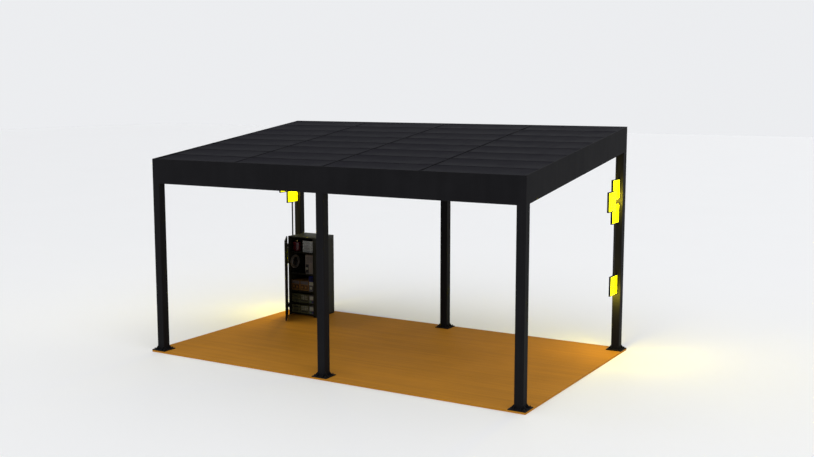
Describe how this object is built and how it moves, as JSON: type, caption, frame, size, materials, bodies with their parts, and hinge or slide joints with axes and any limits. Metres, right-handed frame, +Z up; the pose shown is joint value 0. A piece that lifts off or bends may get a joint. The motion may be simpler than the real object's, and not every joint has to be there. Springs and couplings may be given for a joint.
{
  "type": "pergola",
  "caption": "Open-sided pergola with a sloping panel roof on square posts, a floor sheet, square lamps and an equipment cabinet whose door swings.",
  "frame": {"origin": "middle of the floor sheet's underside, on the ground", "axes": "+X along the front edge to the right, +Y from the low front edge to the high back edge, +Z up"},
  "size_m": [6.115, 3.715, 3.37],
  "materials": {
    "floor_sheet": "satin",
    "dark_frame": "satin powder coat",
    "roof_panel": "matt",
    "lamp_frame": "satin",
    "lamp_pane": "luminous",
    "cabinet_sheet": "satin",
    "cabinet_door": "satin",
    "hinge_steel": "brushed",
    "battery_case": "matt",
    "terminal_box": "matt",
    "blue_case": "matt",
    "pale_case": "matt",
    "inverter_case": "satin",
    "red_case": "gloss"
  },
  "bodies": {
    "structure": {"floor_deck": "floor_sheet", "post_front_left": "dark_frame", "base_front_left": "dark_frame", "post_front_middle": "dark_frame", "base_front_middle": "dark_frame", "post_front_right": "dark_frame", "base_front_right": "dark_frame", "post_back_left": "dark_frame", "base_back_left": "dark_frame", "post_back_middle": "dark_frame", "base_back_middle": "dark_frame", "post_back_right": "dark_frame", "base_back_right": "dark_frame", "beam_front": "dark_frame", "beam_back": "dark_frame", "beam_left": "dark_frame", "beam_right": "dark_frame", "rafter_left": "dark_frame", "rafter_middle": "dark_frame", "rafter_right": "dark_frame", "roof_rails": "dark_frame", "roof_panels_1": "roof_panel", "roof_panels_2": "roof_panel", "roof_panels_3": "roof_panel", "roof_panels_4": "roof_panel", "lamp_frames_left": "lamp_frame", "lamp_panes_left": "lamp_pane", "lamp_rods_left": "lamp_frame", "lamp_frames_right": "lamp_frame", "lamp_panes_right": "lamp_pane", "lamp_rods_right": "lamp_frame", "cabinet_left_side": "cabinet_sheet", "cabinet_right_side": "cabinet_sheet", "cabinet_stile": "cabinet_sheet", "cabinet_back": "cabinet_sheet", "cabinet_top": "cabinet_sheet", "cabinet_bottom": "cabinet_sheet", "cabinet_shelves": "cabinet_sheet", "cabinet_hinges": "hinge_steel", "battery_modules": "battery_case", "terminal_boxes": "terminal_box", "supply_unit": "blue_case", "power_box": "pale_case", "inverter": "inverter_case", "red_canister": "red_case", "fan_ring": "pale_case"},
    "door": {"cabinet_door": "cabinet_door"}
  },
  "joints": [
    {"name": "door_hinge", "type": "hinge", "parent": "structure", "child": "door", "pos_m": [-2.822, 1.225, 0.715], "axis": [0, 0, 1], "range_deg": [-64, 56]}
  ]
}
